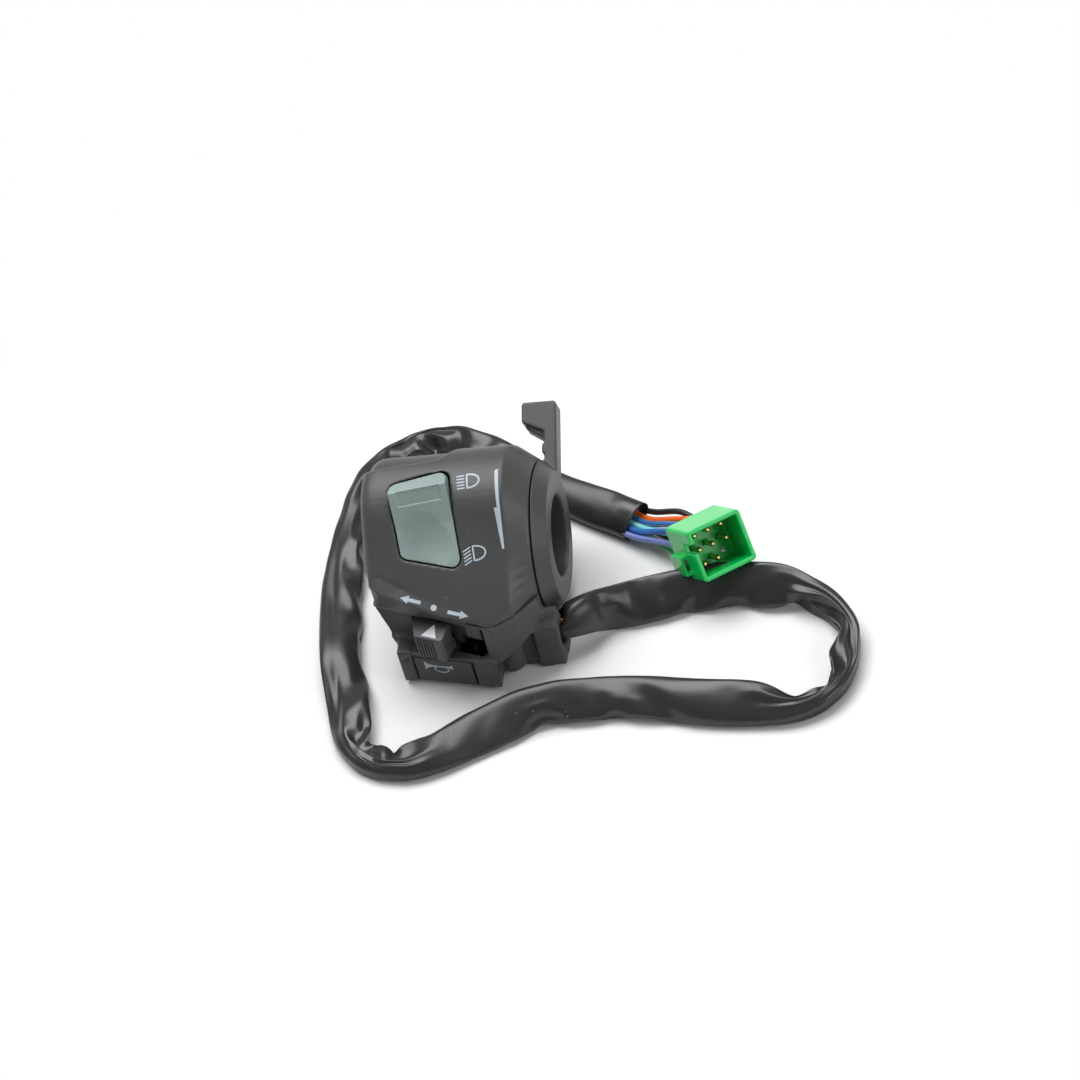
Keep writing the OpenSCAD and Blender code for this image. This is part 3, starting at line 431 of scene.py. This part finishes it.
def laid_tube(route, form, dents, ring_gap):
    """Rings of a flattened tube along the route, with its dents, and the distance between them."""
    per_span, mean_radius = 24, 5
    side_power, top_power = 0.9, 0.85
    line = np.array(spline(route, per_span))
    run = np.concatenate([[0], np.cumsum(np.linalg.norm(np.diff(line, axis=0), axis=1))])
    ring_count = int(run[-1] / ring_gap) + 1
    along = np.linspace(0, run[-1], ring_count)
    at = np.interp(along, run, np.arange(len(line)) / per_span)
    middle = np.stack([np.interp(along, run, line[:, k]) for k in range(3)], 1)
    ahead = np.gradient(middle, axis=0)
    aside = np.cross(ahead, (0, 0, 1))
    aside = (aside / np.linalg.norm(aside, axis=1)[:, None])[:, None]
    above = np.cross(aside[:, 0], ahead / np.linalg.norm(ahead, axis=1)[:, None])[:, None]
    wide, tall, roll, shift, lift = eased(form, at)
    angle = 2 * np.pi * np.arange(ring_sides) / ring_sides
    dented = np.ones((ring_count, ring_sides))
    for place, toward, depth, long, spread in dents:
        off = (np.degrees(angle) - toward + 180) % 360 - 180
        reach = np.exp(-((at - place) / long) ** 2)[:, None]
        dented -= depth / mean_radius * reach * np.exp(-(off / spread) ** 2)
    x = wide * np.sign(np.cos(angle)) * np.abs(np.cos(angle)) ** side_power * dented
    y = tall * np.sign(np.sin(angle)) * np.abs(np.sin(angle)) ** top_power * dented
    roll = np.radians(roll)
    turned_x = (x * np.cos(roll) - y * np.sin(roll))[..., None]
    turned_y = (x * np.sin(roll) + y * np.cos(roll))[..., None]
    skin = middle[:, None] + aside * (shift[..., None] + turned_x) + above * (lift[..., None] + turned_y)
    skin[..., 2] += np.maximum(0, table_face + 0.05 - skin[..., 2].min(1))[:, None]
    return skin, along[1]


def draw_in(a, b, rest, share):
    """Two sets of points moved towards their rest distance, less where they are stretched."""
    stretch_share = 0.12
    gap = b - a
    size = np.linalg.norm(gap, axis=-1, keepdims=True)
    give = np.where(size > rest, share * stretch_share, share)
    move = give * 0.5 * (size - rest) / np.maximum(size, 1e-9) * gap
    return a + move, b - move


def drape(skin, pitch, rounds):
    """The skin with the lengths of a straight tube: it buckles on the inside of each bend."""
    wires_radius = 1.6
    stiff_along, stiff_round, shear = 0.02, 0.04, 0.6
    form_pull, centre_pull = 0.004, 0.3
    held_rings, jitter, seed = 3, 0.05, 4
    count, sides = skin.shape[:2]
    start = skin.copy()
    core = start.mean(1)[:, None]
    width = np.median(np.linalg.norm(np.roll(skin, -1, 1) - skin, axis=2).sum(1)) / sides
    keep = np.full((count, sides, 1), form_pull)
    keep[:held_rings] = keep[-held_rings:] = 1
    skin = skin + np.random.default_rng(seed).normal(0, jitter, skin.shape) * (keep < 1)
    for _ in range(rounds):
        for odd in (0, 1):
            pairs = (count - odd) // 2 * 2
            near, far = slice(odd, odd + pairs, 2), slice(odd + 1, odd + pairs, 2)
            skin[near], skin[far] = draw_in(skin[near], skin[far], pitch, 1.0)
            skin = np.roll(skin, -odd, 1)
            skin[:, 0::2], skin[:, 1::2] = draw_in(skin[:, 0::2], skin[:, 1::2], width, 1.0)
            skin = np.roll(skin, odd, 1)
            for slant in (1, -1):
                a, b = draw_in(skin[near], np.roll(skin, -slant, 1)[far], math.hypot(pitch, width), shear)
                skin[near] = a
                other = np.roll(skin, -slant, 1)
                other[far] = b
                skin = np.roll(other, slant, 1)
        skin[1:-1] += stiff_along * (0.5 * (skin[:-2] + skin[2:]) - skin[1:-1])
        skin += stiff_round * (0.5 * (np.roll(skin, 1, 1) + np.roll(skin, -1, 1)) - skin)
        out = skin - core
        size = np.linalg.norm(out, axis=2, keepdims=True)
        skin = np.where(size < wires_radius, core + out / np.maximum(size, 1e-6) * wires_radius, skin)
        skin[..., 2] = np.maximum(skin[..., 2], table_face)
        skin += keep * (start - skin)
        skin += centre_pull * (start.mean(1) - skin.mean(1))[:, None]
    return skin


skin, ring_pitch = laid_tube(sleeve_route, sleeve_form, sleeve_dents, ring_gap=3.4)
skin = drape(skin, ring_pitch, rounds=500)
# the first ring is drawn into the exit hole; its top stays just outside
exit_hole = np.array((31, -19.5, -16.5))
exit_room, top_above, top_out, tuck_in = 4.9, 3.2, 0.9, -1.5
tucked = skin[0] - exit_hole
tucked *= np.minimum(1, exit_room / np.linalg.norm(tucked[:, 1:], axis=1))[:, None]
tucked[:, 0] = np.where(tucked[:, 2] > top_above, top_out, tuck_in)
skin = np.concatenate([[exit_hole + tucked], skin])


def bridge(form, a, b):
    """A band of faces between two rings."""
    for k in range(ring_sides):
        after = (k + 1) % ring_sides
        form.faces.new((a[k], a[after], b[after], b[k]))


def ring_centre(ring):
    """The middle of a ring of vertices."""
    return sum((v.co for v in ring), Vector()) / ring_sides


lip_depth, lip_share = 3, 0.9
form = bmesh.new()
crease = form.edges.layers.float.new("crease_edge")
rings = [[form.verts.new(p * MM) for p in ring] for ring in skin]
for a, b in zip(rings, rings[1:]):
    bridge(form, a, b)
for end, inner in ((rings[0], rings[2]), (rings[-1], rings[-3])):
    centre = ring_centre(end)
    depth = (ring_centre(inner) - centre).normalized() * lip_depth * MM
    lip = [form.verts.new(centre + (v.co - centre) * lip_share) for v in end]
    deep = [form.verts.new(v.co + depth) for v in lip]
    bridge(form, end, lip)
    bridge(form, lip, deep)
    form.faces.new(deep)
    for a, b in zip(end, end[1:] + end[:1]):
        form.edges.get((a, b))[crease] = 1
bmesh.ops.recalc_face_normals(form, faces=form.faces)
sleeve_mesh = bpy.data.meshes.new("harness_sleeve_skin")
form.to_mesh(sleeve_mesh)
form.free()
sleeve = placed("harness_sleeve_skin", sleeve_mesh)
rounder = sleeve.modifiers.new("rounder", "SUBSURF")
rounder.levels = rounder.render_levels = 2
shade_smooth(set_shape(sleeve))
pvc = moulding("sleeve_black_pvc", (0.022, 0.022, 0.023), 0.3, texture=900.0, depth=0.04, dust=0.6)
settle(sleeve, "harness_sleeve", pvc)


# Wires: eight stranded leads in coloured PVC from the sleeve's cut end to the connector, and the
# three tan leads of the turn switch that show where the harness leaves the housing.
def wire_tree():
    """Sweeps a round wire along the curve that it is given."""
    tree = bpy.data.node_groups.new("wire_run", "GeometryNodeTree")
    tree.interface.new_socket("Geometry", in_out="INPUT", socket_type="NodeSocketGeometry")
    radius = tree.interface.new_socket("Radius", in_out="INPUT", socket_type="NodeSocketFloat")
    cover = tree.interface.new_socket("Cover", in_out="INPUT", socket_type="NodeSocketMaterial")
    tree.interface.new_socket("Geometry", in_out="OUTPUT", socket_type="NodeSocketGeometry")
    given = tree.nodes.new("NodeGroupInput")
    result = tree.nodes.new("NodeGroupOutput")
    profile = add_node(tree, "GeometryNodeCurvePrimitiveCircle",
                       {"Resolution": 16, "Radius": given.outputs["Radius"]})
    around = add_node(tree, "GeometryNodeSplineParameter")
    marked = add_node(tree, "GeometryNodeStoreNamedAttribute",
                      {"Geometry": profile.outputs["Curve"], "Name": "around",
                       "Value": around.outputs["Factor"]},
                      data_type="FLOAT", domain="POINT")
    swept = add_node(tree, "GeometryNodeCurveToMesh",
                     {"Curve": given.outputs["Geometry"], "Profile Curve": marked.outputs["Geometry"],
                      "Fill Caps": True})
    smooth = add_node(tree, "GeometryNodeSetShadeSmooth", {"Geometry": swept.outputs["Mesh"]})
    real = add_node(tree, "GeometryNodeRealizeInstances", {"Geometry": smooth.outputs["Geometry"]})
    covered = add_node(tree, "GeometryNodeSetMaterial",
                       {"Geometry": real.outputs["Geometry"], "Material": given.outputs["Cover"]})
    tree.links.new(covered.outputs["Geometry"], result.inputs[0])
    return tree, radius.identifier, cover.identifier


wire_run, radius_id, cover_id = wire_tree()


def wire(name, run, radius, cover):
    """A wire along a run of points, in mm."""
    curve = bpy.data.curves.new(name, "CURVE")
    curve.dimensions = "3D"
    line = curve.splines.new("POLY")
    line.points.add(len(run) - 1)
    for point, p in zip(line.points, run):
        point.co = (*(Vector(p) * MM), 1)
    path = placed(name + "_path", curve)
    sweep = path.modifiers.new("wire_run", "NODES")
    sweep.node_group = wire_run
    sweep[radius_id] = radius * MM
    sweep[cover_id] = cover
    mesh = bpy.data.meshes.new_from_object(path.evaluated_get(bpy.context.evaluated_depsgraph_get()))
    bpy.data.objects.remove(path)
    return placed(name, mesh)


def wire_cover(name, colour, stripe=None):
    """A wire's PVC cover, with a stripe along it where it has one."""
    material = moulding(name, colour, 0.34, texture=1800.0, depth=0.05, dust=0.15)
    if stripe:
        tree = material.node_tree
        shader = tree.nodes["Principled BSDF"]
        base = shader.inputs["Base Color"].links[0].from_socket
        around = add_node(tree, "ShaderNodeAttribute", attribute_name="around")
        off = add_node(tree, "ShaderNodeMath", {0: around.outputs["Fac"], 1: 0.5}, operation="SUBTRACT")
        size = add_node(tree, "ShaderNodeMath", {0: off.outputs[0]}, operation="ABSOLUTE")
        band = add_node(tree, "ShaderNodeMapRange",
                        {"Value": size.outputs[0], "From Min": 0.13, "From Max": 0.15,
                         "To Min": 1.0, "To Max": 0.0})
        two = add_node(tree, "ShaderNodeMix", {0: band.outputs[0], 6: base, 7: (*stripe, 1)},
                       data_type="RGBA")
        tree.links.new(two.outputs[2], shader.inputs["Base Color"])
    return material


plug_turn = (Matrix.Rotation(math.radians(34), 4, "Z") @ Matrix.Rotation(math.radians(4), 4, "Y")
             @ Matrix.Rotation(math.radians(58), 4, "X"))
plug_at = Vector((77, -3.5, -5.4))
plug_long, pin_pitch = 16.6, 4.3
wire_radius = 0.9
yellow_stripe = (0.85, 0.62, 0.05)
black_bow = Vector((1, 2, 3))
in_sleeve, past_sleeve, before_plug = 4, 3, 6
sleeve_end = Vector(sleeve_route[-1])
leaving = (sleeve_end - Vector(sleeve_route[-2])).normalized()
across = Vector((0, 0, 1)).cross(leaving)
# colour's name, way in the connector, place across the sleeve's mouth and above its middle, colour
wire_plan = [
    ("black", (1, 0), 4.7, 0, (0.02, 0.02, 0.022)),
    ("orange", (1, 1), 2.85, 0.6, (0.75, 0.13, 0.02)),
    ("striped", (0, 1), 0.95, 0.75, (0.035, 0.16, 0.42)),
    ("cyan", (0, 0), -0.95, 0.55, (0.2, 0.62, 0.68)),
    ("blue", (-1, 1), -2.85, 0.6, (0.03, 0.14, 0.46)),
    ("violet", (-1, 0), -4.7, 0, (0.2, 0.24, 0.55)),
    ("brown", (0, -1), 1.2, -1.35, (0.14, 0.06, 0.03)),
    ("green", (-1, -1), -1.2, -1.35, (0.05, 0.28, 0.08))]
for colour_name, (column, row), aside, lift, colour in wire_plan:
    start = across * aside + Vector((0, 0, lift))
    back = plug_at + plug_turn @ Vector((column * pin_pitch, row * pin_pitch, -plug_long))
    before = plug_at + plug_turn @ Vector((column * pin_pitch, row * pin_pitch, -plug_long - before_plug))
    first = sleeve_end + leaving * past_sleeve + start
    bow = black_bow if colour_name == "black" else Vector()
    run = spline([sleeve_end - leaving * in_sleeve + start, first + bow * 0.4, (first + before) / 2 + bow,
                  before + bow * 0.5, back], per_span=12)
    stripe = yellow_stripe if colour_name == "striped" else None
    cover = wire_cover("wire_pvc_" + colour_name, colour, stripe)
    piece = wire("wire_" + colour_name + "_lead", run, wire_radius, cover)
    settle(piece, "wire_" + colour_name, cover)

dress(wire_cover("lead_pvc_tan", (0.62, 0.3, 0.12)), "inner_leads")

# Connector: a green nylon shell with nine ways, moulded with a latch loop on one side. Eight brass
# pins are crimped to the wires and pushed in from behind until they lock; one way is empty.
connector_green = moulding("connector_green_nylon", (0.0, 0.54, 0.1), 0.2, texture=1500.0, depth=0.04,
                           dust=0.3, dust_colour=(0.5, 0.6, 0.5))
connector = soft_moulding("connector_housing", 0.2 * MM, 3)
settle(connector, "connector_housing", connector_green)


def pin_tree():
    """A square field of turned pins with one way left out."""
    tree = bpy.data.node_groups.new("pin_field", "GeometryNodeTree")
    tree.interface.new_socket("Geometry", in_out="INPUT", socket_type="NodeSocketGeometry")
    sockets = {}
    for label, kind in (("Pitch", "Float"), ("Radius", "Float"), ("Length", "Float"), ("Empty Way", "Int"),
                        ("Metal", "Material")):
        socket = tree.interface.new_socket(label, in_out="INPUT", socket_type="NodeSocket" + kind)
        sockets[label] = socket.identifier
    tree.interface.new_socket("Geometry", in_out="OUTPUT", socket_type="NodeSocketGeometry")
    given = tree.nodes.new("NodeGroupInput")
    result = tree.nodes.new("NodeGroupOutput")
    span = add_node(tree, "ShaderNodeMath", {0: given.outputs["Pitch"], 1: 2.0}, operation="MULTIPLY")
    field = add_node(tree, "GeometryNodeMeshGrid",
                     {"Size X": span.outputs[0], "Size Y": span.outputs[0],
                      "Vertices X": 3, "Vertices Y": 3})
    index = add_node(tree, "GeometryNodeInputIndex")
    empty = add_node(tree, "FunctionNodeCompare", {2: index.outputs[0], 3: given.outputs["Empty Way"]},
                     data_type="INT", operation="EQUAL")
    fitted = add_node(tree, "GeometryNodeDeleteGeometry",
                      {"Geometry": field.outputs["Mesh"], "Selection": empty.outputs["Result"]},
                      domain="POINT")
    tip = add_node(tree, "ShaderNodeMath", {0: given.outputs["Radius"], 1: 0.45}, operation="MULTIPLY")
    shank = add_node(tree, "GeometryNodeMeshCylinder",
                     {"Vertices": 20, "Radius": given.outputs["Radius"], "Depth": given.outputs["Length"]})
    half = add_node(tree, "ShaderNodeMath", {0: given.outputs["Length"], 1: 0.5}, operation="MULTIPLY")
    top = add_node(tree, "ShaderNodeCombineXYZ", {"Z": half.outputs[0]})
    point = add_node(tree, "GeometryNodeMeshCone",
                     {"Vertices": 20, "Radius Top": tip.outputs[0], "Radius Bottom": given.outputs["Radius"],
                      "Depth": given.outputs["Radius"]})
    raised = add_node(tree, "GeometryNodeTransform",
                      {"Geometry": point.outputs["Mesh"], "Translation": top.outputs[0]})
    pin = add_node(tree, "GeometryNodeJoinGeometry")
    tree.links.new(shank.outputs["Mesh"], pin.inputs[0])
    tree.links.new(raised.outputs["Geometry"], pin.inputs[0])
    spaced = add_node(tree, "GeometryNodeInstanceOnPoints",
                      {"Points": fitted.outputs["Geometry"], "Instance": pin.outputs["Geometry"]})
    real = add_node(tree, "GeometryNodeRealizeInstances", {"Geometry": spaced.outputs["Instances"]})
    plated = add_node(tree, "GeometryNodeSetMaterial",
                      {"Geometry": real.outputs["Geometry"], "Material": given.outputs["Metal"]})
    tree.links.new(plated.outputs["Geometry"], result.inputs[0])
    return tree, sockets


pin_radius, pin_long, floor_rise, empty_way = 0.8, 9.2, 0.2, 6
pin_field, pin_sockets = pin_tree()
pins = placed("connector_pin_set", bpy.data.meshes.new("connector_pin_set"))
field = pins.modifiers.new("pin_field", "NODES")
field.node_group = pin_field
for label, value in (("Pitch", pin_pitch * MM), ("Radius", pin_radius * MM), ("Length", pin_long * MM),
                     ("Empty Way", empty_way), ("Metal", brass)):
    field[pin_sockets[label]] = value
pin_foot = Matrix.Translation((0, 0, (floor_rise - plug_long + pin_long / 2) * MM))
set_shape(pins).transform(Matrix.Translation(plug_at * MM) @ plug_turn @ pin_foot)
settle(pins, "connector_pins", brass)

# Upper housing: the top shell with the sloping switch face, moulded like the lower one. It drops
# over the bar and takes the two clamp screws in blind bosses.
upper_shell = soft_moulding("upper_housing", 0.46 * MM, 6)
settle(upper_shell, "upper_housing", housing_black)
dress(zinc, "clamp_screws")

# Lights switch: a grey-green rocker on two steel pins, with a sprung nylon plunger that tips a
# brass bridge from one contact to the other. The rocker has a plain recessed plate.
dress(phenolic, "dimmer_base")
dress(brass, "dimmer_contacts", "dimmer_bridge")
dress(moulding("natural_nylon", (0.72, 0.7, 0.62), 0.42, dust=0.1), "dimmer_plunger")
dress(spring_wire, "dimmer_spring")
dress(zinc, "dimmer_pivot_pins", "dimmer_screws")
rocker_green = moulding("rocker_grey_green", (0.24, 0.31, 0.297), 0.38, texture=1600.0, depth=0.05, dust=0.2,
                        dust_colour=(0.45, 0.5, 0.48))
rocker = soft_moulding("dimmer_rocker", 0.16 * MM, 5)
settle(rocker, "dimmer_rocker", rocker_green)


# Printed signs: pale ink, pad-printed on the finished mouldings, a few hundredths of a millimetre
# thick. They are the usual pictograms for the beams, the turn arrows and the horn, with a plain
# stripe beside the rocker and a triangle on the knob.
def ink(name, colour):
    """A matt printing ink."""
    return moulding(name, colour, 0.5, texture=3000.0, depth=0.05, dust=0.0)


sign_ink = ink("sign_ink", (0.42, 0.5, 0.56))
knob_ink = ink("knob_ink", (0.74, 0.77, 0.8))


def stroke(points, width, closed=False):
    """A band of even width along points, as quads."""
    points = [Vector(p) for p in points]
    count = len(points)
    edges = []
    for i, p in enumerate(points):
        a = points[(i - 1) % count] if closed or i else p
        b = points[(i + 1) % count] if closed or i < count - 1 else p
        along = (b - a).normalized()
        out = Vector((-along.y, along.x)) * width / 2
        edges.append((p + out, p - out))
    pairs = list(zip(edges, edges[1:])) + ([(edges[-1], edges[0])] if closed else [])
    return [(a[0], b[0], b[1], a[1]) for a, b in pairs]


def print_on(name, shapes, base, centre, right, up, body, inkwell):
    """Lays flat shapes, in mm, on a finished piece along the sign's own normal."""
    longest_edge, reach, film, ray_length = 0.6, 8, 0.03, 0.03
    right, up = Vector(right).normalized(), Vector(up).normalized()
    out = right.cross(up).normalized()
    up = out.cross(right)
    corners = [v.co for v in base.data.vertices]
    under = BVHTree.FromPolygons(corners, [p.vertices for p in base.data.polygons])
    form = bmesh.new()
    for shape in shapes:
        form.faces.new([form.verts.new((p[0], p[1], 0)) for p in shape])
    bmesh.ops.triangulate(form, faces=form.faces)
    while True:
        long = [e for e in form.edges if e.calc_length() > longest_edge]
        if not long:
            break
        bmesh.ops.subdivide_edges(form, edges=long, cuts=1, use_grid_fill=False)
        bmesh.ops.triangulate(form, faces=[f for f in form.faces if len(f.verts) > 3])
    for v in form.verts:
        start = (Vector(centre) + right * v.co.x + up * v.co.y + out * reach) * MM
        hit, normal, _, _ = under.ray_cast(start, -out, ray_length)
        v.co = hit + normal * film * MM if hit else start - out * reach * MM
    bmesh.ops.remove_doubles(form, verts=form.verts, dist=merge_distance)
    mesh = bpy.data.meshes.new(name)
    form.to_mesh(mesh)
    form.free()
    mesh.update()
    if sum((p.normal * p.area for p in mesh.polygons), Vector()).dot(out) < 0:
        mesh.flip_normals()
    shade_smooth(mesh)
    mesh.materials.append(inkwell)
    piece = placed(name, mesh)
    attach(piece, body)


def lamp_sign(wide, high, slope, gap):
    """A lamp seen from the side, with five rays to its left at a slope."""
    ray_long, bowl_steps = 2.2, 24
    bowl_line, ray_line = 0.46, 0.36
    angles = [math.pi * i / bowl_steps for i in range(bowl_steps + 1)]
    bowl = [(wide * math.sin(a) ** 0.85, high / 2 * math.cos(a)) for a in angles]
    shapes = stroke(bowl + [(0, -high / 2 + high * i / 8) for i in range(1, 8)], bowl_line, closed=True)
    lean = math.tan(slope)
    for i in range(-2, 3):
        y = i * high / 4.3
        shapes += stroke([(-gap - far, y - far * lean) for far in (ray_long, ray_long / 2, 0)], ray_line)
    return shapes


def turned(shapes, degrees):
    """Shapes turned about their own origin."""
    c, s = math.cos(math.radians(degrees)), math.sin(math.radians(degrees))
    return [[(p[0] * c - p[1] * s, p[0] * s + p[1] * c) for p in shape] for shape in shapes]


def face_sign(name, shapes, x, u):
    """A sign on the sloping switch face, at a place along and up the slope."""
    face_out, slope = 24.5, 0.70711
    centre = (x, (u - face_out) * slope, (u + face_out) * slope)
    print_on(name, shapes, upper_shell, centre, (1, 0, 0), (0, slope, slope), "housing", sign_ink)


face_sign("main_beam_sign", turned(lamp_sign(3.4, 3.7, 0, 0.7), 5), 10.9, 16.9)
face_sign("dipped_beam_sign", turned(lamp_sign(3.4, 4.0, math.radians(25), 0.7), 5), 11.7, -3.1)
stripe_halves = [[(18.6, 19.4), (19.25, 8.8), (20.15, 8.8), (19.6, 19.7)],
                 [(18.4, 9.1), (19.85, -2.5), (20.5, -2.4), (20.15, 8.8)]]
face_sign("flash_stripe", [[(x - 19.5, u - 9) for x, u in half] for half in stripe_halves], 19.5, 9)
arrow = [(0, 0), (2.4, 1.15), (2.4, 0.5), (6, 0.5), (6, -0.5), (2.4, -0.5), (2.4, -1.15)]
off_dot = [(0.85 * math.cos(math.pi * i / 12), 0.85 * math.sin(math.pi * i / 12)) for i in range(24)]
face_sign("left_turn_sign", turned([arrow], -18), -10, -13.8)
face_sign("turn_off_sign", [off_dot], -0.7, -17.3)
face_sign("right_turn_sign", turned([[(-x, y) for x, y in arrow[::-1]]], -16), 8.9, -20.4)
pointer = [(-2.3, -1.9), (2.3, -1.9), (0.3, 2.1)]
print_on("knob_pointer", [pointer], turn_knob, (-2.9, -31.6, -1.6), slide_right, slide_inward,
         "knob", knob_ink)
bell = [(0, 1.75), (0.55, 1.2), (1.35, 0.62), (2.7, 0.34), (7.7, 0.34), (8.15, 0.85), (8.5, 0.85),
        (8.5, -0.85), (8.15, -0.85), (7.7, -0.28), (2.7, -0.28), (1.35, -0.62), (0.55, -1.2), (0, -1.75)]
loop = [(5 + 2.1 * math.cos(a), -1.05 + 1.2 * math.sin(a)) for a in (math.pi * i / 14 for i in range(28))]
print_on("horn_sign", [bell[::-1]] + stroke(loop, 0.36, closed=True), horn_panel, (-8.1, -30.4, -16.9),
         horn_right, (0, 0, 1), "horn", sign_ink)

# Choke lever: a black ring that turns round the bar against the end of the housing, with a thumb
# tab on its arm. A flange behind its neck holds it between the two shells.
lever_black = moulding("lever_black_nylon", (0.05, 0.05, 0.052), 0.44)
choke = soft_moulding("choke_lever", 0.36 * MM, 5)
settle(choke, "choke_lever", lever_black)
